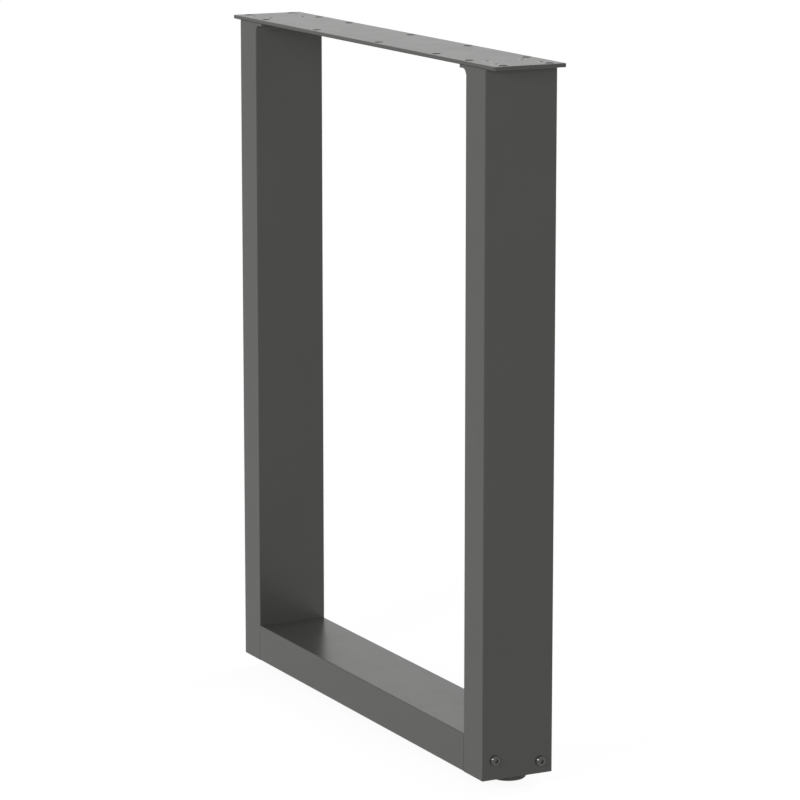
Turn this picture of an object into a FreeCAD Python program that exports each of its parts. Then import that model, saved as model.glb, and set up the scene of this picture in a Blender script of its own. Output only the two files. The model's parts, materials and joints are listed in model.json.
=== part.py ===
import FreeCAD, Part
import math
import os
import Sketcher

# U-shaped table leg: two upright tubes on levelling feet, a bottom rail and a drilled top plate.
# Millimetres. The origin is on the floor below the middle, X runs along the leg, Y across it, Z up.

DRIVING = {
    # top plate
    "plate_length": "600",
    "plate_width": "80",
    "plate_thickness": "4",
    "plate_corner": "1.5",
    "plate_edge": "0.5",
    "plate_overhang": "18",
    # holes for wood screws into the table top
    "wood_hole": "9.5",
    "wood_hole_rim": "0.3",
    "wood_hole_margin": "8",
    "end_hole_inset": "9",
    "end_hole_margin": "14.25",
    "span_hole_start": "107",
    "span_hole_first_step": "144.5",
    "span_hole_second_step": "126.5",
    "span_hole_stagger": "52.5",
    # rectangular tube of the columns and the rail
    "tube_depth": "80",
    "tube_breadth": "40",
    "tube_wall": "1.5",
    "tube_corner": "0.8",
    "tube_bore_corner": "0.5",
    "frame_height": "720",
    # cap on each column, with its ear and the weld below the ear
    "cap_thickness": "3",
    "cap_corner": "1",
    "ear_length": "14",
    "ear_hole": "6.5",
    "ear_hole_inset": "5.4",
    "weld_leg": "5.5",
    "weld_hollow": "1.5",
    # countersunk screws between the plate and the caps
    "plate_screw": "5",
    "plate_screw_head": "9.4",
    "plate_screw_recess": "0.1",
    "plate_screw_tip": "2",
    "plate_screw_socket": "4",
    "plate_screw_socket_depth": "2",
    "outer_screw_margin": "14.5",
    "inner_screw_margin": "20.5",
    "collar_wall": "1.2",
    "collar_height": "3",
    "collar_gap": "0.75",
    # domed screws between the columns and the rail
    "rail_screw": "6",
    "rail_screw_head": "11",
    "rail_screw_head_height": "3.3",
    "rail_screw_head_rim": "0.5",
    "rail_screw_tip": "3",
    "rail_screw_socket": "4",
    "rail_screw_socket_depth": "1.6",
    "front_screw_inset": "14.2",
    "front_screw_height": "20",
    "back_screw_inset": "13.6",
    "back_screw_height": "12.7",
    "spacer_wall": "1.6",
    "end_plate_thickness": "5",
    "rail_nut_width": "10",
    "rail_nut_height": "5",
    # levelling feet
    "sole_thickness": "4",
    "foot_nut_width": "17",
    "foot_nut_height": "8",
    "foot_stem": "10",
    "foot_stem_length": "40",
    "foot_stem_chamfer": "1",
    "foot_socket": "3.5",
    "pad_diameter": "37",
    "pad_height": "5",
    "pad_edge": "1.2",
    # clearances
    "thread_clearance": "0.05",
    "shank_clearance": "0.4",
    "weld_gap": "0.1",
}

# Places and sizes that follow from the driving dimensions.
DERIVED = {
    "half_plate": "Sizes.plate_length / 2",
    "half_width": "Sizes.plate_width / 2",
    "plate_top": "Sizes.pad_height + Sizes.frame_height",
    "plate_bottom": "plate_top - Sizes.plate_thickness",
    "cap_bottom": "plate_bottom - Sizes.cap_thickness",
    "column_height": "cap_bottom - Sizes.pad_height",
    "column_outer": "half_plate - Sizes.plate_overhang",
    "column_inner": "column_outer - Sizes.tube_breadth",
    "column_centre": "column_outer - Sizes.tube_breadth / 2",
    "half_depth": "Sizes.tube_depth / 2",
    "shared_half": "min(half_width; half_depth)",
    "bore_outer": "column_outer - Sizes.tube_wall",
    "bore_inner": "column_inner + Sizes.tube_wall",
    "bore_length": "Sizes.tube_breadth - 2 * Sizes.tube_wall",
    "half_bore": "half_depth - Sizes.tube_wall",
    "rail_length": "2 * column_inner",
    "rail_top": "Sizes.pad_height + Sizes.tube_breadth",
    "rail_bore_low": "Sizes.pad_height + Sizes.tube_wall",
    "rail_bore_high": "rail_top - Sizes.tube_wall",
    "ear_end": "column_inner - Sizes.ear_length",
    "ear_hole_along": "ear_end + Sizes.ear_hole_inset",
    "weld_end": "column_inner - Sizes.weld_leg",
    "weld_low": "cap_bottom - Sizes.weld_leg",
    "weld_radius": "Sizes.weld_leg + Sizes.weld_hollow",
    "wood_row": "half_width - Sizes.wood_hole_margin",
    "ear_row": "shared_half - Sizes.wood_hole_margin",
    "end_hole_along": "half_plate - Sizes.end_hole_inset",
    "end_hole_across": "half_width - Sizes.end_hole_margin",
    "front_hole_1": "-Sizes.span_hole_start",
    "front_hole_2": "front_hole_1 + Sizes.span_hole_first_step",
    "front_hole_3": "front_hole_2 + Sizes.span_hole_second_step",
    "back_hole_1": "front_hole_1 - Sizes.span_hole_stagger",
    "back_hole_2": "front_hole_2 - Sizes.span_hole_stagger",
    "back_hole_3": "front_hole_3 - Sizes.span_hole_stagger",
    "collar": "Sizes.plate_screw + 2 * Sizes.thread_clearance + 2 * Sizes.collar_wall",
    "cap_thread": "Sizes.plate_screw + 2 * Sizes.thread_clearance",
    "outer_screw_along": "bore_outer - collar / 2 - Sizes.collar_gap",
    "inner_screw_along": "bore_inner + collar / 2 + Sizes.collar_gap",
    "outer_screw_across": "shared_half - Sizes.outer_screw_margin",
    "inner_screw_across": "shared_half - Sizes.inner_screw_margin",
    "plate_screw_bore": "Sizes.plate_screw + 2 * Sizes.shank_clearance",
    "countersink": "Sizes.plate_screw_head + 2 * Sizes.plate_screw_recess",
    "plate_screw_top": "plate_top - Sizes.plate_screw_recess",
    "plate_screw_head_radius": "Sizes.plate_screw_head / 2",
    "plate_screw_radius": "Sizes.plate_screw / 2",
    "cone_room": "Sizes.plate_thickness - Sizes.plate_screw_recess",
    "plate_screw_cone": "min(plate_screw_head_radius - plate_screw_radius; cone_room)",
    "collar_low": "Sizes.plate_thickness + Sizes.cap_thickness + Sizes.collar_height",
    "plate_screw_length": "collar_low + Sizes.plate_screw_tip",
    "rail_screw_radius": "Sizes.rail_screw / 2",
    "rail_screw_head_radius": "Sizes.rail_screw_head / 2",
    "rail_screw_dome": "Sizes.rail_screw_head_height - Sizes.rail_screw_head_rim",
    "rail_screw_grip": "Sizes.tube_breadth + Sizes.end_plate_thickness",
    "rail_screw_length": "rail_screw_grip + Sizes.rail_nut_height + Sizes.rail_screw_tip",
    "rail_screw_bore": "Sizes.rail_screw + 2 * Sizes.shank_clearance",
    "rail_nut_bore": "Sizes.rail_screw + 2 * Sizes.thread_clearance",
    "spacer": "rail_screw_bore + 2 * Sizes.spacer_wall",
    "front_screw_across": "Sizes.front_screw_inset - half_depth",
    "front_screw_up": "Sizes.pad_height + Sizes.front_screw_height",
    "back_screw_across": "half_depth - Sizes.back_screw_inset",
    "back_screw_up": "Sizes.pad_height + Sizes.back_screw_height",
    "end_plate_inner": "column_inner - Sizes.end_plate_thickness",
    "end_plate_half": "half_bore - Sizes.weld_gap",
    "end_plate_low": "rail_bore_low + Sizes.weld_gap",
    "end_plate_high": "rail_bore_high - Sizes.weld_gap",
    "rail_nut_end": "end_plate_inner - Sizes.rail_nut_height",
    "sole_outer": "bore_outer - Sizes.weld_gap",
    "sole_inner": "bore_inner + Sizes.weld_gap",
    "sole_half": "half_bore - Sizes.weld_gap",
    "sole_bore": "Sizes.foot_stem + 2 * Sizes.shank_clearance",
    "foot_nut_low": "Sizes.pad_height + Sizes.sole_thickness",
    "foot_nut_bore": "Sizes.foot_stem + 2 * Sizes.thread_clearance",
    "stem_low": "Sizes.pad_height - Sizes.foot_socket",
    "stem_high": "Sizes.pad_height + Sizes.foot_stem_length",
    "stem_shoulder": "stem_high - Sizes.foot_stem_chamfer",
    "stem_radius": "Sizes.foot_stem / 2",
    "stem_tip_radius": "stem_radius - Sizes.foot_stem_chamfer",
    "pad_radius": "Sizes.pad_diameter / 2",
    "pad_socket_radius": "stem_radius + Sizes.thread_clearance",
}

# The right end is modelled in place, and the left end is the same piece turned half round.
ENDS = {"right": 0, "left": 180}
UP = FreeCAD.Vector(0, 0, 1)
POINTING_OUT = FreeCAD.Rotation(FreeCAD.Vector(0, 1, 0), 90)
UPRIGHT = FreeCAD.Rotation()
TOLERANCE = 1e-6

doc = FreeCAD.newDocument("u_shaped_table_leg")
parts = []


def fill_sheet(name, cells, lead=""):
    sheet = doc.addObject("Spreadsheet::Sheet", name)
    for row, (alias, content) in enumerate(cells.items(), start=1):
        sheet.set(f"A{row}", alias)
        sheet.set(f"B{row}", lead + content)
        sheet.setAlias(f"B{row}", alias)
    doc.recompute()
    return sheet


sizes = fill_sheet("Sizes", DRIVING)
places = fill_sheet("Places", DERIVED, lead="=")


def formula(cell):
    """The expression for a cell's alias, which may follow a minus sign."""
    alias = cell.lstrip("-")
    sheet = "Sizes" if alias in DRIVING else "Places"
    return cell.replace(alias, f"{sheet}.{alias}")


def number(cell):
    """The present value of a cell's alias, which may follow a minus sign. No cell is zero."""
    if not cell:
        return 0.0
    alias = cell.lstrip("-")
    value = float(getattr(sizes if alias in DRIVING else places, alias))
    return -value if cell.startswith("-") else value


def turned_about_z(turn):
    return FreeCAD.Placement(FreeCAD.Vector(), FreeCAD.Rotation(UP, turn))


def new_body(label, turn=0):
    body = doc.addObject("PartDesign::Body", label)
    body.Label = label
    body.Placement = turned_about_z(turn)
    return body


def keep(piece):
    """Count a finished piece among those that are written."""
    parts.append(piece)
    return piece


def new_sketch(body, plane, level=None):
    """A sketch on one of the body's own planes, or at a level above it."""
    support = next(feature for feature in body.Origin.OriginFeatures if feature.Role == plane)
    sketch = body.newObject("Sketcher::SketchObject", "Profile")
    sketch.AttachmentSupport = [(support, "")]
    sketch.MapMode = "FlatFace"
    if level:
        sketch.setExpression("AttachmentOffset.Base.z", formula(level))
    return sketch


def dimension(sketch, kind, cell, *where):
    index = sketch.addConstraint(Sketcher.Constraint(kind, *where, abs(number(cell))))
    sign = "-" if number(cell) < 0 else ""
    sketch.setExpression(f"Constraints[{index}]", f"{sign}({formula(cell)})")


def pin(sketch, geometry, point, across=None, up=None):
    """Hold a point at a distance from the sketch's axes, or on an axis where the distance is empty."""
    for kind, axis, cell in (("DistanceX", -2, across), ("DistanceY", -1, up)):
        if cell is None:
            continue
        if cell == "":
            sketch.addConstraint(Sketcher.Constraint("PointOnObject", geometry, point, axis))
        elif number(cell) < 0:
            dimension(sketch, kind, cell, geometry, point, -1, 1)
        else:
            dimension(sketch, kind, cell, -1, 1, geometry, point)


def spot(across, up):
    return FreeCAD.Vector(number(across), number(up), 0)


def draw_circle(sketch, across, up, diameter):
    circle = sketch.addGeometry(Part.Circle(spot(across, up), UP, number(diameter) / 2), False)
    pin(sketch, circle, 3, across, up)
    dimension(sketch, "Diameter", diameter, circle)


def draw_polygon(sketch, corners):
    """A closed outline of straight lines, with each corner held in place."""
    lines = []
    for start, end in zip(corners, corners[1:] + corners[:1]):
        lines.append(sketch.addGeometry(Part.LineSegment(spot(*start), spot(*end)), False))
    for line, following in zip(lines, lines[1:] + lines[:1]):
        sketch.addConstraint(Sketcher.Constraint("Coincident", line, 2, following, 1))
    for line, corner in zip(lines, corners):
        pin(sketch, line, 1, *corner)


def draw_rounded_rectangle(sketch, left, right, low, high, radius):
    corner = number(radius)
    west, east, south, north = number(left), number(right), number(low), number(high)
    quarter = math.pi / 2
    runs = [
        ((west + corner, south), (east - corner, south)),
        ((east, south + corner), (east, north - corner)),
        ((east - corner, north), (west + corner, north)),
        ((west, north - corner), (west, south + corner)),
    ]
    centres = [
        (east - corner, south + corner),
        (east - corner, north - corner),
        (west + corner, north - corner),
        (west + corner, south + corner),
    ]
    lines = []
    for start, end in runs:
        segment = Part.LineSegment(FreeCAD.Vector(*start, 0), FreeCAD.Vector(*end, 0))
        lines.append(sketch.addGeometry(segment, False))
    arcs = []
    for turn, centre in enumerate(centres):
        circle = Part.Circle(FreeCAD.Vector(*centre, 0), UP, corner)
        first = (turn - 1) * quarter
        arcs.append(sketch.addGeometry(Part.ArcOfCircle(circle, first, first + quarter), False))
    for line, arc, following in zip(lines, arcs, lines[1:] + lines[:1]):
        sketch.addConstraint(Sketcher.Constraint("Tangent", line, 2, arc, 1))
        sketch.addConstraint(Sketcher.Constraint("Tangent", arc, 2, following, 1))
    for line, direction in zip(lines, ("Horizontal", "Vertical", "Horizontal", "Vertical")):
        sketch.addConstraint(Sketcher.Constraint(direction, line))
    for arc in arcs[1:]:
        sketch.addConstraint(Sketcher.Constraint("Equal", arcs[0], arc))
    dimension(sketch, "Radius", radius, arcs[0])
    pin(sketch, lines[0], 1, up=low)
    pin(sketch, lines[1], 1, across=right)
    pin(sketch, lines[2], 1, up=high)
    pin(sketch, lines[3], 1, across=left)


def draw_hexagon(sketch, across_flats):
    """A regular hexagon about the origin, with two sides level."""
    width = formula(across_flats)
    radius = number(across_flats) / math.sqrt(3)
    guide = sketch.addGeometry(Part.Circle(FreeCAD.Vector(), UP, radius), True)
    sketch.addConstraint(Sketcher.Constraint("Coincident", guide, 3, -1, 1))
    index = sketch.addConstraint(Sketcher.Constraint("Radius", guide, radius))
    sketch.setExpression(f"Constraints[{index}]", f"{width} / sqrt(3)")
    first = FreeCAD.Vector(radius, 0, 0)
    corners = [FreeCAD.Rotation(UP, turn).multVec(first) for turn in range(0, 360, 60)]
    lines = []
    for start, end in zip(corners, corners[1:] + corners[:1]):
        lines.append(sketch.addGeometry(Part.LineSegment(start, end), False))
    for line, following in zip(lines, lines[1:] + lines[:1]):
        sketch.addConstraint(Sketcher.Constraint("Coincident", line, 2, following, 1))
    for line in lines:
        sketch.addConstraint(Sketcher.Constraint("PointOnObject", line, 1, guide))
    for line in lines[1:]:
        sketch.addConstraint(Sketcher.Constraint("Equal", lines[0], line))
    sketch.addConstraint(Sketcher.Constraint("Horizontal", lines[1]))


def pad(body, sketch, length, side="One side", down=False):
    feature = body.newObject("PartDesign::Pad", "Pad")
    feature.Profile = sketch
    feature.SideType = side
    feature.Reversed = down
    feature.setExpression("Length", formula(length))
    doc.recompute()
    return feature


def pocket(body, sketch, depth=None):
    """Cut from the sketch into the piece, to a depth or right through."""
    before = body.Shape.Volume
    feature = body.newObject("PartDesign::Pocket", "Pocket")
    feature.Profile = sketch
    if depth:
        feature.setExpression("Length", formula(depth))
    else:
        feature.Type = "ThroughAll"
    doc.recompute()
    if body.Shape.Volume > before - TOLERANCE:
        raise RuntimeError(f"{body.Label}: a pocket cut nothing")
    return feature


def revolve(body, corners):
    """Turn an outline of radius and height pairs about the upright axis."""
    sketch = new_sketch(body, "XZ_Plane")
    draw_polygon(sketch, corners)
    feature = body.newObject("PartDesign::Revolution", "Revolution")
    feature.Profile = sketch
    feature.ReferenceAxis = (sketch, ["V_Axis"])
    doc.recompute()
    return feature


def dress(body, kind, base, size_name, size, chosen):
    """Round or chamfer the edges that the test chooses."""
    names = [f"Edge{n}" for n, edge in enumerate(base.Shape.Edges, start=1) if chosen(edge)]
    feature = body.newObject(kind, kind.split("::")[1])
    feature.Base = (base, names)
    feature.setExpression(size_name, formula(size))
    doc.recompute()
    return feature


def is_level(edge):
    return edge.BoundBox.ZLength < TOLERANCE


def is_rim(edge, diameter):
    if not isinstance(edge.Curve, Part.Circle):
        return False
    return is_level(edge) and abs(edge.Curve.Radius - number(diameter) / 2) < TOLERANCE


def copies(label, piece, spots, rotation, turn):
    """A node of separate solids: one copy of the piece at each spot, all turned to their end of the leg."""
    links = []
    for place in spots:
        link = doc.addObject("App::Link", f"{label}_copy")
        link.LinkedObject = piece
        link.Placement = FreeCAD.Placement(FreeCAD.Vector(), rotation)
        for axis, cell in zip("xyz", place):
            link.setExpression(f"Placement.Base.{axis}", formula(cell))
        links.append(link)
    node = doc.addObject("Part::Compound", label)
    node.Label = label
    node.Links = links
    node.Placement = turned_about_z(turn)
    return keep(node)


# Where the screws sit at the right end.
PLATE_SCREW_SPOTS = [
    ("outer_screw_along", "-outer_screw_across"),
    ("outer_screw_along", "outer_screw_across"),
    ("inner_screw_along", "-inner_screw_across"),
    ("inner_screw_along", "inner_screw_across"),
]
RAIL_SCREW_SPOTS = [("front_screw_across", "front_screw_up"), ("back_screw_across", "back_screw_up")]


def half_turned(cell):
    return cell[1:] if cell.startswith("-") else "-" + cell


def both_ends(spots):
    return spots + [(half_turned(along), half_turned(across)) for along, across in spots]


def make_top_plate():
    """Flat bar with broken edges, plain holes for wood screws and countersunk holes over the columns."""
    body = keep(new_body("top_plate"))
    outline = new_sketch(body, "XY_Plane", "plate_bottom")
    draw_rounded_rectangle(outline, "-half_plate", "half_plate", "-half_width", "half_width", "plate_corner")
    slab = pad(body, outline, "plate_thickness")
    dress(body, "PartDesign::Chamfer", slab, "Size", "plate_edge", is_level)

    end_spots = [("end_hole_along", "-end_hole_across"), ("end_hole_along", "end_hole_across")]
    ear_spots = [("ear_hole_along", "-ear_row"), ("ear_hole_along", "ear_row")]
    front_spots = [(f"front_hole_{n}", "-wood_row") for n in (1, 2, 3)]
    back_spots = [(f"back_hole_{n}", "wood_row") for n in (1, 2, 3)]
    drilling = new_sketch(body, "XY_Plane", "plate_top")
    for along, across in both_ends(end_spots + ear_spots) + front_spots + back_spots:
        draw_circle(drilling, along, across, "wood_hole")
    drilled = pocket(body, drilling)
    top = number("plate_top")
    dress(
        body, "PartDesign::Chamfer", drilled, "Size", "wood_hole_rim",
        lambda edge: is_rim(edge, "wood_hole") and abs(edge.BoundBox.ZMax - top) < TOLERANCE,
    )

    seats = new_sketch(body, "XY_Plane", "plate_top")
    for along, across in both_ends(PLATE_SCREW_SPOTS):
        draw_circle(seats, along, across, "plate_screw_bore")
    doc.recompute()
    hole = body.newObject("PartDesign::Hole", "Countersinks")
    hole.Profile = seats
    hole.DepthType = "ThroughAll"
    hole.HoleCutType = "Countersink"
    hole.setExpression("Diameter", formula("plate_screw_bore"))
    hole.setExpression("HoleCutDiameter", formula("countersink"))
    doc.recompute()


def make_column(side, turn):
    """Upright tube, cross-drilled near its foot for the two rail screws."""
    body = keep(new_body(f"{side}_column", turn))
    section = new_sketch(body, "XY_Plane", "pad_height")
    draw_rounded_rectangle(
        section, "column_inner", "column_outer", "-half_depth", "half_depth", "tube_corner"
    )
    draw_rounded_rectangle(section, "bore_inner", "bore_outer", "-half_bore", "half_bore", "tube_bore_corner")
    pad(body, section, "column_height")
    drilling = new_sketch(body, "YZ_Plane", "column_outer")
    for across, up in RAIL_SCREW_SPOTS:
        draw_circle(drilling, across, up, "rail_screw_bore")
    pocket(body, drilling)


def make_cap(side, turn):
    """Plate welded on the column's top, with an ear inwards and four formed collars for screws."""
    body = keep(new_body(f"{side}_column_cap", turn))
    outline = new_sketch(body, "XY_Plane", "cap_bottom")
    draw_rounded_rectangle(outline, "ear_end", "column_outer", "-half_depth", "half_depth", "cap_corner")
    pad(body, outline, "cap_thickness")
    collars = new_sketch(body, "XY_Plane", "cap_bottom")
    for along, across in PLATE_SCREW_SPOTS:
        draw_circle(collars, along, across, "collar")
    pad(body, collars, "collar_height", down=True)
    drilling = new_sketch(body, "XY_Plane", "plate_bottom")
    for along, across in PLATE_SCREW_SPOTS:
        draw_circle(drilling, along, across, "cap_thread")
    for across in ("-ear_row", "ear_row"):
        draw_circle(drilling, "ear_hole_along", across, "ear_hole")
    pocket(body, drilling)


def make_weld(side, turn):
    """Hollow fillet of weld between the column and the cap's ear, wrapped on the tube's rounded edges."""
    body = keep(new_body(f"{side}_cap_weld", turn))
    profile = new_sketch(body, "XZ_Plane")
    back = "column_centre"
    toe = spot("weld_end", "cap_bottom")
    heel = spot("column_inner", "weld_low")
    upper_back = spot(back, "cap_bottom")
    lower_back = spot(back, "weld_low")
    upper = profile.addGeometry(Part.LineSegment(upper_back, toe), False)
    lower = profile.addGeometry(Part.LineSegment(heel, lower_back), False)
    rear = profile.addGeometry(Part.LineSegment(lower_back, upper_back), False)
    chord = heel - toe
    radius = number("weld_radius")
    rise = (radius ** 2 - chord.Length ** 2 / 4) ** 0.5
    outward = FreeCAD.Vector(-1, -1, 0).normalize()
    centre = (toe + heel) / 2 + outward * rise
    start = FreeCAD.Vector(1, 0, 0).getAngle(heel - centre)
    end = FreeCAD.Vector(1, 0, 0).getAngle(toe - centre)
    hollow = profile.addGeometry(Part.ArcOfCircle(Part.Circle(centre, UP, radius), start, end), False)
    profile.addConstraint(Sketcher.Constraint("Coincident", upper, 2, hollow, 2))
    profile.addConstraint(Sketcher.Constraint("Coincident", hollow, 1, lower, 1))
    profile.addConstraint(Sketcher.Constraint("Coincident", lower, 2, rear, 1))
    profile.addConstraint(Sketcher.Constraint("Coincident", rear, 2, upper, 1))
    pin(profile, upper, 1, back, "cap_bottom")
    pin(profile, upper, 2, "weld_end", "cap_bottom")
    pin(profile, lower, 1, "column_inner", "weld_low")
    pin(profile, lower, 2, back, "weld_low")
    dimension(profile, "Radius", "weld_radius", hollow)
    pad(body, profile, "tube_depth", side="Symmetric")
    tube = new_sketch(body, "XY_Plane", "plate_top")
    draw_rounded_rectangle(tube, "column_inner", "column_outer", "-half_depth", "half_depth", "tube_corner")
    pocket(body, tube)


def make_bottom_rail():
    """Tube lying between the columns, level with their lower ends."""
    body = keep(new_body("bottom_rail"))
    section = new_sketch(body, "YZ_Plane")
    draw_rounded_rectangle(section, "-half_depth", "half_depth", "pad_height", "rail_top", "tube_corner")
    draw_rounded_rectangle(
        section, "-half_bore", "half_bore", "rail_bore_low", "rail_bore_high", "tube_bore_corner"
    )
    pad(body, section, "rail_length", side="Symmetric")


def make_end_plate(side, turn):
    """Plate welded inside the rail's end, against the column."""
    body = keep(new_body(f"{side}_rail_end_plate", turn))
    outline = new_sketch(body, "YZ_Plane", "end_plate_inner")
    draw_rounded_rectangle(
        outline, "-end_plate_half", "end_plate_half", "end_plate_low", "end_plate_high", "tube_bore_corner"
    )
    pad(body, outline, "end_plate_thickness")
    drilling = new_sketch(body, "YZ_Plane", "column_inner")
    for across, up in RAIL_SCREW_SPOTS:
        draw_circle(drilling, across, up, "rail_screw_bore")
    pocket(body, drilling)


def make_sole(side, turn):
    """Plate welded inside the column's lower end, for the foot."""
    body = keep(new_body(f"{side}_column_sole", turn))
    outline = new_sketch(body, "XY_Plane", "pad_height")
    draw_rounded_rectangle(outline, "sole_inner", "sole_outer", "-sole_half", "sole_half", "tube_bore_corner")
    pad(body, outline, "sole_thickness")
    drilling = new_sketch(body, "XY_Plane", "foot_nut_low")
    draw_circle(drilling, "column_centre", "", "sole_bore")
    pocket(body, drilling)


def make_nut(label, width, height, bore):
    """Hexagon nut that stands on the origin."""
    body = new_body(label)
    outline = new_sketch(body, "XY_Plane")
    draw_hexagon(outline, width)
    draw_circle(outline, "", "", bore)
    pad(body, outline, height)
    return body


def make_spacer():
    """Sleeve that keeps the column's walls apart under a rail screw."""
    body = new_body("spacer")
    outline = new_sketch(body, "XY_Plane")
    draw_circle(outline, "", "", "spacer")
    draw_circle(outline, "", "", "rail_screw_bore")
    pad(body, outline, "bore_length")
    return body


def cut_socket(body, width, depth, level=None):
    mouth = new_sketch(body, "XY_Plane", level)
    draw_hexagon(mouth, width)
    pocket(body, mouth, depth)


def make_plate_screw():
    """Countersunk socket screw, with the middle of its flat head on the origin."""
    body = new_body("plate_screw")
    revolve(body, [
        ("", ""),
        ("plate_screw_head_radius", ""),
        ("plate_screw_radius", "-plate_screw_cone"),
        ("plate_screw_radius", "-plate_screw_length"),
        ("", "-plate_screw_length"),
    ])
    cut_socket(body, "plate_screw_socket", "plate_screw_socket_depth")
    return body


def make_rail_screw():
    """Domed socket screw, with its head's seat on the origin."""
    body = new_body("rail_screw")
    blank = revolve(body, [
        ("", "rail_screw_head_height"),
        ("rail_screw_head_radius", "rail_screw_head_height"),
        ("rail_screw_head_radius", ""),
        ("rail_screw_radius", ""),
        ("rail_screw_radius", "-rail_screw_length"),
        ("", "-rail_screw_length"),
    ])
    top = number("rail_screw_head_height")
    dress(
        body, "PartDesign::Fillet", blank, "Radius", "rail_screw_dome",
        lambda edge: is_rim(edge, "rail_screw_head") and abs(edge.BoundBox.ZMax - top) < TOLERANCE,
    )
    cut_socket(body, "rail_screw_socket", "rail_screw_socket_depth", "rail_screw_head_height")
    return body


def make_foot(side, turn):
    """Levelling foot: a threaded stem held in the socket of a round pad."""
    stem = keep(new_body(f"{side}_foot_stem"))
    revolve(stem, [
        ("", "stem_low"),
        ("stem_radius", "stem_low"),
        ("stem_radius", "stem_shoulder"),
        ("stem_tip_radius", "stem_high"),
        ("", "stem_high"),
    ])
    pad_body = keep(new_body(f"{side}_foot_pad"))
    blank = revolve(pad_body, [
        ("", ""),
        ("pad_radius", ""),
        ("pad_radius", "pad_height"),
        ("pad_socket_radius", "pad_height"),
        ("pad_socket_radius", "stem_low"),
        ("", "stem_low"),
    ])
    dress(
        pad_body, "PartDesign::Chamfer", blank, "Size", "pad_edge",
        lambda edge: is_rim(edge, "pad_diameter") and edge.BoundBox.ZMax < TOLERANCE,
    )
    centre = "column_centre" if turn == 0 else "-column_centre"
    for piece in (stem, pad_body):
        piece.setExpression("Placement.Base.x", formula(centre))


def make_fasteners(side, turn):
    copies(
        f"{side}_plate_screws", plate_screw,
        [(along, across, "plate_screw_top") for along, across in PLATE_SCREW_SPOTS], UPRIGHT, turn,
    )
    for name, piece, level in (
        ("rail_screws", rail_screw, "column_outer"),
        ("column_spacers", spacer, "bore_inner"),
        ("rail_nuts", rail_nut, "rail_nut_end"),
    ):
        spots = [(level, across, up) for across, up in RAIL_SCREW_SPOTS]
        copies(f"{side}_{name}", piece, spots, POINTING_OUT, turn)


def make_foot_nut(side, turn):
    nut = keep(make_nut(f"{side}_foot_nut", "foot_nut_width", "foot_nut_height", "foot_nut_bore"))
    nut.setExpression("Placement.Base.x", formula("column_centre" if turn == 0 else "-column_centre"))
    nut.setExpression("Placement.Base.z", formula("foot_nut_low"))


plate_screw = make_plate_screw()
rail_screw = make_rail_screw()
spacer = make_spacer()
rail_nut = make_nut("rail_nut", "rail_nut_width", "rail_nut_height", "rail_nut_bore")

make_top_plate()
make_bottom_rail()
for side, turn in ENDS.items():
    make_column(side, turn)
    make_cap(side, turn)
    make_weld(side, turn)
    make_end_plate(side, turn)
    make_sole(side, turn)
    make_foot_nut(side, turn)
    make_foot(side, turn)
    make_fasteners(side, turn)

doc.recompute()
for item in doc.Objects:
    if "Invalid" in item.State or "Error" in item.State:
        raise RuntimeError(f"{item.Label} failed to build")
for piece in parts:
    if piece.Shape.isNull() or not piece.Shape.isValid():
        raise RuntimeError(f"{piece.Label} has no valid shape")

os.makedirs("parts", exist_ok=True)
for piece in parts:
    piece.Shape.exportStep(f"parts/{piece.Label}.step")
    print(f"{piece.Label}: {len(piece.Shape.Solids)} solids, {piece.Shape.Volume:.0f} mm3")
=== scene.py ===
import json
import math
import bpy
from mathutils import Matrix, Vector


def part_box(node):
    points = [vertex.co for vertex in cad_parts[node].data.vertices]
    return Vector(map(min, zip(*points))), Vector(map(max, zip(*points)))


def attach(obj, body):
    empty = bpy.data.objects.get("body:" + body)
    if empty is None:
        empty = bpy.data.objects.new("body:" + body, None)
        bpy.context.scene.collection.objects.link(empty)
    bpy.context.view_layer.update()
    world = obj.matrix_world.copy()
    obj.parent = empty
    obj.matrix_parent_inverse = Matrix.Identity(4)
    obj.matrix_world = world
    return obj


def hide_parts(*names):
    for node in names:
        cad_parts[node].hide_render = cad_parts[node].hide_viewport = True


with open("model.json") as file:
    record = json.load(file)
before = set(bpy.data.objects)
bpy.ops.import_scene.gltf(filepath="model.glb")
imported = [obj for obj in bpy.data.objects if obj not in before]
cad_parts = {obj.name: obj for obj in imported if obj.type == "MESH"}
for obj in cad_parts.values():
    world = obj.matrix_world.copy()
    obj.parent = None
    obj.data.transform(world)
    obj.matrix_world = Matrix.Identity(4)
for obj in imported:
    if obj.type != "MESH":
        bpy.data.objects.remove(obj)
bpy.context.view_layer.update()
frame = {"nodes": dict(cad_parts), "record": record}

scene = bpy.context.scene
print("frame loaded:", len(frame["nodes"]), "nodes")


# finishes

noise = {"span": (0.3, 0.7), "cloudDetail": 3, "hazeDetail": 2, "grainDetail": 2}


def newFinish(name):
    finish = bpy.data.materials.new(name)
    finish.use_nodes = True
    return finish, finish.node_tree.nodes, finish.node_tree.links


def addNoise(nodes, links, place, scale, detail):
    texture = nodes.new("ShaderNodeTexNoise")
    texture.inputs["Scale"].default_value = scale
    texture.inputs["Detail"].default_value = detail
    links.new(place.outputs["Object"], texture.inputs["Vector"])
    return texture.outputs["Fac"]


def addRange(nodes, links, source, span, low, high):
    spread = nodes.new("ShaderNodeMapRange")
    spread.inputs["From Min"].default_value = span[0]
    spread.inputs["From Max"].default_value = span[1]
    spread.inputs["To Min"].default_value = low
    spread.inputs["To Max"].default_value = high
    links.new(source, spread.inputs["Value"])
    return spread.outputs["Result"]


def addTint(nodes, links, source, darkTone, lightTone):
    ramp = nodes.new("ShaderNodeValToRGB")
    for stop, place, tone in zip(ramp.color_ramp.elements, noise["span"], (darkTone, lightTone)):
        stop.position = place
        stop.color = (*tone, 1)
    links.new(source, ramp.inputs["Fac"])
    return ramp.outputs["Color"]


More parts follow.
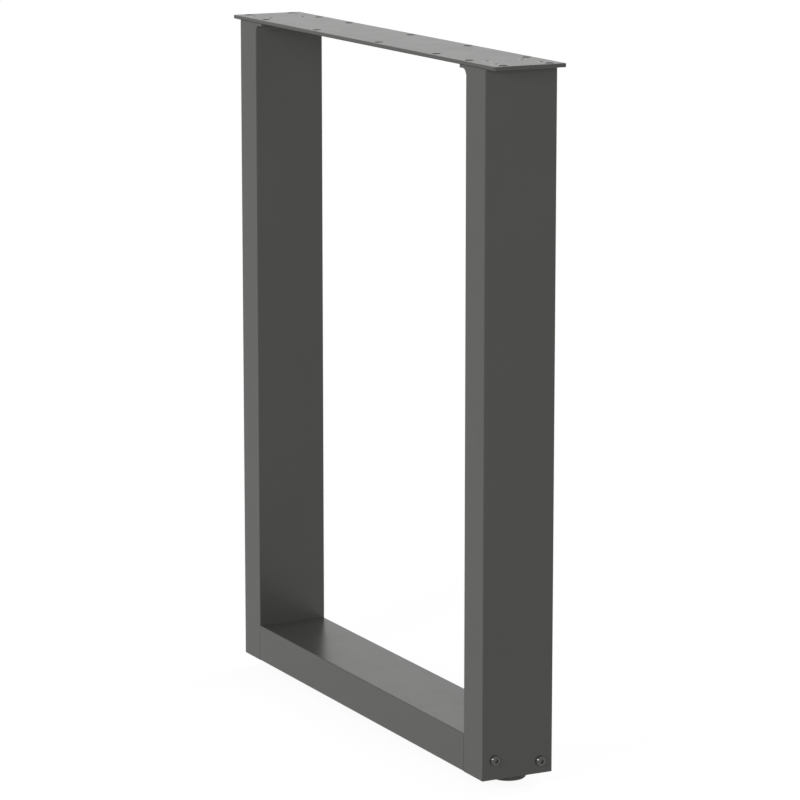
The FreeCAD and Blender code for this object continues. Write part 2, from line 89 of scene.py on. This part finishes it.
def addBump(nodes, links, source, strength, depth, shader):
    bump = nodes.new("ShaderNodeBump")
    bump.inputs["Strength"].default_value = strength
    bump.inputs["Distance"].default_value = depth
    links.new(source, bump.inputs["Height"])
    links.new(bump.outputs["Normal"], shader.inputs["Normal"])


def makeFinish(name, look):
    finish, nodes, links = newFinish(name)
    shader = nodes["Principled BSDF"]
    place = nodes.new("ShaderNodeTexCoord")
    clouds = addNoise(nodes, links, place, look["cloudScale"], noise["cloudDetail"])
    tint = addTint(nodes, links, clouds, look["darkTone"], look["lightTone"])
    links.new(tint, shader.inputs["Base Color"])
    haze = addNoise(nodes, links, place, look["hazeScale"], noise["hazeDetail"])
    gloss = addRange(nodes, links, haze, noise["span"], *look["roughness"])
    links.new(gloss, shader.inputs["Roughness"])
    grain = addNoise(nodes, links, place, look["grainScale"], noise["grainDetail"])
    addBump(nodes, links, grain, look["grainStrength"], look["grainDepth"], shader)
    shader.inputs["Metallic"].default_value = look["metallic"]
    shader.inputs["Specular IOR Level"].default_value = look["specular"]
    return finish


powderCoat = {  # satin anthracite, with the faint orange peel of powder coating
    "darkTone": (0.043, 0.043, 0.0392), "lightTone": (0.047, 0.047, 0.0430), "cloudScale": 9,
    "roughness": (0.29, 0.32), "hazeScale": 35, "grainScale": 650, "grainStrength": 0.12,
    "grainDepth": 0.0002, "metallic": 0, "specular": 0.46,
}
screwCoat = {  # black coated screws, glossier than the paint
    "darkTone": (0.012, 0.012, 0.011), "lightTone": (0.016, 0.016, 0.015), "cloudScale": 60,
    "roughness": (0.12, 0.16), "hazeScale": 120, "grainScale": 900, "grainStrength": 0.04,
    "grainDepth": 0.0001, "metallic": 0, "specular": 0.9,
}
zincPlate = {  # bright zinc on nuts, sleeves and stems
    "darkTone": (0.48, 0.48, 0.47), "lightTone": (0.58, 0.58, 0.57), "cloudScale": 180,
    "roughness": (0.24, 0.38), "hazeScale": 400, "grainScale": 1200, "grainStrength": 0.08,
    "grainDepth": 0.0001, "metallic": 1, "specular": 0.5,
}
padPlastic = {  # moulded plastic of the feet
    "darkTone": (0.033, 0.033, 0.0305), "lightTone": (0.038, 0.038, 0.035), "cloudScale": 50,
    "roughness": (0.48, 0.58), "hazeScale": 90, "grainScale": 1500, "grainStrength": 0.15,
    "grainDepth": 0.0001, "metallic": 0, "specular": 0.33,
}
slotFinish = {
    "powder_coat": makeFinish("powder coat", powderCoat),
    "dark_screw": makeFinish("screw coat", screwCoat),
    "zinc_steel": makeFinish("zinc plate", zincPlate),
    "black_plastic": makeFinish("pad plastic", padPlastic),
}
for row in frame["record"]["subparts"]:
    node = frame["nodes"][row["node"]]
    node.data.materials.clear()
    node.data.materials.append(slotFinish[row["material_slot"]])
print("finishes on", len(frame["nodes"]), "nodes")


# levelling stems with their screw thread

stemThread = {
    "crest": 0.00498, "root": 0.0042, "pitch": 0.0015, "crestShare": 0.12, "rootShare": 0.16,
    "spareTurns": 2,  # wound past each end, then cut off
    "turnSteps": 28, "smoothAngle": 35, "mergeSpan": 1e-6,
}


def deselectAll():
    if bpy.context.object and bpy.context.object.mode != "OBJECT":
        bpy.ops.object.mode_set(mode="OBJECT")
    bpy.ops.object.select_all(action="DESELECT")


def cutLevel(height, keepAbove):
    bpy.ops.mesh.select_all(action="SELECT")
    bpy.ops.mesh.bisect(
        plane_co=(0, 0, height), plane_no=(0, 0, 1), use_fill=True,
        clear_inner=keepAbove, clear_outer=not keepAbove,
    )


def startProfile(spec, low):
    deselectAll()
    bpy.ops.mesh.primitive_plane_add(size=spec["pitch"], location=(0, 0, 0))
    bpy.ops.object.mode_set(mode="EDIT")
    bpy.ops.mesh.select_all(action="SELECT")
    bpy.ops.mesh.merge(type="CENTER")
    below = spec["spareTurns"] * spec["pitch"]
    bpy.ops.transform.translate(value=(spec["root"], 0, low - below))


def drawThread(spec):
    crestWidth = spec["pitch"] * spec["crestShare"]
    rootWidth = spec["pitch"] * spec["rootShare"]
    flank = spec["pitch"] * (1 - spec["crestShare"] - spec["rootShare"]) / 2
    depth = spec["crest"] - spec["root"]
    for out, rise in ((depth, flank), (0, crestWidth), (-depth, flank), (0, rootWidth)):
        bpy.ops.mesh.extrude_region_move(TRANSFORM_OT_translate={"value": (out, 0, rise)})
    bpy.ops.object.mode_set(mode="OBJECT")


def modelStem(name, low, high):
    spec = stemThread
    startProfile(spec, low)
    stem = bpy.context.object
    stem.name = name
    drawThread(spec)
    winding = stem.modifiers.new("winding", "SCREW")
    winding.axis = "Z"
    winding.angle = 2 * math.pi
    winding.screw_offset = spec["pitch"]
    winding.iterations = math.ceil((high - low) / spec["pitch"]) + 2 * spec["spareTurns"]
    winding.steps = winding.render_steps = spec["turnSteps"]
    winding.use_merge_vertices = True
    winding.merge_threshold = spec["mergeSpan"]
    bpy.ops.object.modifier_apply(modifier="winding")
    bpy.ops.object.mode_set(mode="EDIT")
    bpy.ops.mesh.select_all(action="SELECT")
    bpy.ops.mesh.remove_doubles(threshold=spec["mergeSpan"])
    cutLevel(low, True)
    cutLevel(high, False)
    bpy.ops.mesh.select_all(action="SELECT")
    bpy.ops.mesh.normals_make_consistent(inside=False)
    bpy.ops.object.mode_set(mode="OBJECT")
    bpy.ops.object.shade_smooth_by_angle(angle=math.radians(spec["smoothAngle"]))
    return stem


def moveMesh(piece, along):
    deselectAll()
    piece.select_set(True)
    bpy.context.view_layer.objects.active = piece
    bpy.ops.object.mode_set(mode="EDIT")
    bpy.ops.mesh.select_all(action="SELECT")
    bpy.ops.transform.translate(value=(along, 0, 0))
    bpy.ops.object.mode_set(mode="OBJECT")


stemLow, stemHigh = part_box("right_foot_stem")
rightStem = modelStem("rightThreadedStem", stemLow[2], stemHigh[2])
rightStem.data.materials.append(slotFinish["zinc_steel"])
leftStem = rightStem.copy()
leftStem.data = rightStem.data.copy()
leftStem.name = "leftThreadedStem"
scene.collection.objects.link(leftStem)
for piece, side in ((rightStem, "right"), (leftStem, "left")):
    stemLow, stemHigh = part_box(f"{side}_foot_stem")
    moveMesh(piece, (stemLow[0] + stemHigh[0]) / 2)
    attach(piece, f"{side}_foot")
    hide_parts(f"{side}_foot_stem")
print("stems threaded:", len(rightStem.data.polygons), "faces each")


# floor, light and camera

def addSeenRays(nodes, links):
    rays = nodes.new("ShaderNodeLightPath")
    total = rays.outputs["Is Camera Ray"]
    for kind in ("Is Glossy Ray", "Is Transmission Ray"):
        either = nodes.new("ShaderNodeMath")
        either.operation = "MAXIMUM"
        links.new(total, either.inputs[0])
        links.new(rays.outputs[kind], either.inputs[1])
        total = either.outputs[0]
    return total


unseenToSeen = (0, 1)
floorLook = {
    "span": 40, "height": -0.0102,  # just under the feet at their full reach
    "bounce": 0.35, "seenShade": 0.12, "nearGlow": 0.93, "farGlow": 0.97, "fade": (1, 6),
}


def addPaleFloor():
    deselectAll()
    bpy.ops.mesh.primitive_plane_add(size=floorLook["span"], location=(0, 0, floorLook["height"]))
    floor = bpy.context.object
    floor.name = "paleFloor"
    finish, nodes, links = newFinish("pale floor")
    nodes.remove(nodes["Principled BSDF"])
    seen = addSeenRays(nodes, links)
    matt = nodes.new("ShaderNodeBsdfDiffuse")  # takes the shadow
    shade = addRange(nodes, links, seen, unseenToSeen, floorLook["bounce"], floorLook["seenShade"])
    links.new(shade, matt.inputs["Color"])
    place = nodes.new("ShaderNodeTexCoord")
    away = nodes.new("ShaderNodeVectorMath")
    away.operation = "LENGTH"
    links.new(place.outputs["Object"], away.inputs[0])
    # less glow near the object keeps its shadow, more far off hides the horizon
    glowAt = addRange(
        nodes, links, away.outputs["Value"], floorLook["fade"], floorLook["nearGlow"], floorLook["farGlow"],
    )
    glow = nodes.new("ShaderNodeMath")
    glow.operation = "MULTIPLY"
    links.new(seen, glow.inputs[0])
    links.new(glowAt, glow.inputs[1])
    white = nodes.new("ShaderNodeEmission")  # brings it up to white where it is seen
    links.new(glow.outputs[0], white.inputs["Strength"])
    both = nodes.new("ShaderNodeAddShader")
    links.new(matt.outputs[0], both.inputs[0])
    links.new(white.outputs[0], both.inputs[1])
    links.new(both.outputs[0], nodes["Material Output"].inputs["Surface"])
    floor.data.materials.append(finish)


room = {"ambient": 0.25, "seen": 1}


def addRoom():
    world = bpy.data.worlds.new("white room")
    scene.world = world
    world.use_nodes = True
    nodes, links = world.node_tree.nodes, world.node_tree.links
    back = nodes["Background"]
    back.inputs["Color"].default_value = (1, 1, 1, 1)
    seen = addSeenRays(nodes, links)
    level = addRange(nodes, links, seen, unseenToSeen, room["ambient"], room["seen"])
    links.new(level, back.inputs["Strength"])


lamps = {
    "key softbox": {"place": (1.44, -2.82, 1.56), "aim": (0.1, 0, 0.3), "size": 0.9, "power": 50},
    "side softbox": {"place": (3.76, -1.44, 1.39), "aim": (0.1, 0, 0.3), "size": 1.0, "power": 60},
    "back fill": {"place": (-1.25, 3.0, 3.2), "aim": (0, 0, 0.4), "size": 2.0, "power": 55},
}


def addLamps():
    for name, spec in lamps.items():
        lamp = bpy.data.lights.new(name, "AREA")
        lamp.size = spec["size"]
        lamp.energy = spec["power"]
        holder = bpy.data.objects.new(name, lamp)
        holder.location = spec["place"]
        toward = Vector(spec["aim"]) - holder.location
        holder.rotation_euler = toward.to_track_quat("-Z", "Y").to_euler()
        scene.collection.objects.link(holder)


eye = {"place": (3.4917, -1.7810, 1.1188), "turn": 62.820, "down": 11.209, "lens": 170.33}


def addCamera():
    camera = bpy.data.objects.new("camera", bpy.data.cameras.new("camera"))
    camera.location = eye["place"]
    camera.rotation_euler = (math.radians(90 - eye["down"]), 0, math.radians(eye["turn"]))
    camera.data.lens = eye["lens"]
    scene.collection.objects.link(camera)
    scene.camera = camera


addPaleFloor()
addRoom()
addLamps()
addCamera()
scene.view_settings.view_transform = "Standard"
print("floor, light and camera set")
